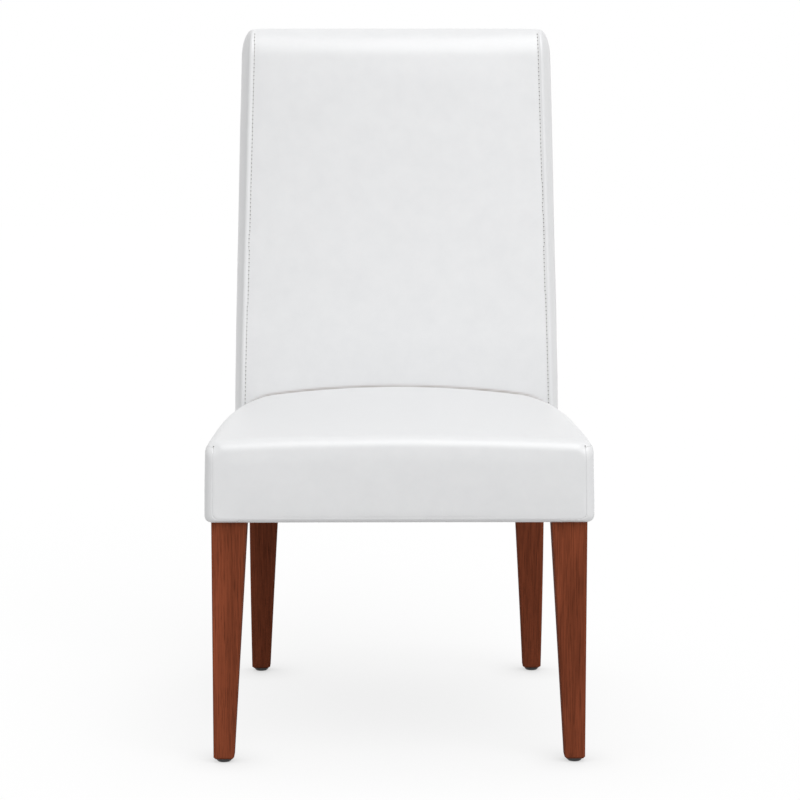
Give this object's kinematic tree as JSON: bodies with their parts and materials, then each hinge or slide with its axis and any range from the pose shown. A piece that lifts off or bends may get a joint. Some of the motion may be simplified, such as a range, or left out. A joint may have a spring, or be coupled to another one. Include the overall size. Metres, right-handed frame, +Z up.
{
  "type": "upholstered dining chair",
  "caption": "Armless high-backed dining chair with a padded leathercloth seat and raked back over a wooden frame, standing on tapered wooden legs with plastic glides.",
  "frame": {"origin": "on the floor, under the middle of the chair's bounding box", "axes": "+Z up, +Y towards the back of the chair, +X to the right as seen from the front; the seat faces -Y"},
  "size_m": [0.5238, 0.6134, 1],
  "materials": {
    "leathercloth": "smooth satin",
    "stained_wood": "stained and lacquered",
    "frame_wood": "planed, unfinished",
    "foam": "open-cell foam",
    "webbing": "woven elastic",
    "dust_cloth": "non-woven cloth",
    "hardboard": "pressed board",
    "zinc_steel": "zinc plated",
    "glide_plastic": "matte"
  },
  "bodies": {
    "root": {"back_foam": "foam", "back_front_cover": "leathercloth", "back_lower_rail": "frame_wood", "back_rear_cover": "leathercloth", "back_side_cover_left": "leathercloth", "back_side_cover_right": "leathercloth", "back_top_rail": "frame_wood", "back_webbing": "webbing", "backing_board": "hardboard", "corner_block_front_left": "frame_wood", "corner_block_front_right": "frame_wood", "corner_block_rear_left": "frame_wood", "corner_block_rear_right": "frame_wood", "dust_cover": "dust_cloth", "front_leg_left": "stained_wood", "front_leg_right": "stained_wood", "front_seat_rail": "frame_wood", "glide_nails": "zinc_steel", "glides": "glide_plastic", "leg_bolt_nuts": "zinc_steel", "leg_bolt_washers": "zinc_steel", "leg_bolts": "zinc_steel", "rear_post_left": "stained_wood", "rear_post_right": "stained_wood", "rear_seat_rail": "frame_wood", "seat_foam": "foam", "seat_side_cover_left": "leathercloth", "seat_side_cover_right": "leathercloth", "seat_top_cover": "leathercloth", "seat_webbing_crosswise": "webbing", "seat_webbing_lengthwise": "webbing", "side_seat_rail_left": "frame_wood", "side_seat_rail_right": "frame_wood"}
  },
  "joints": []
}
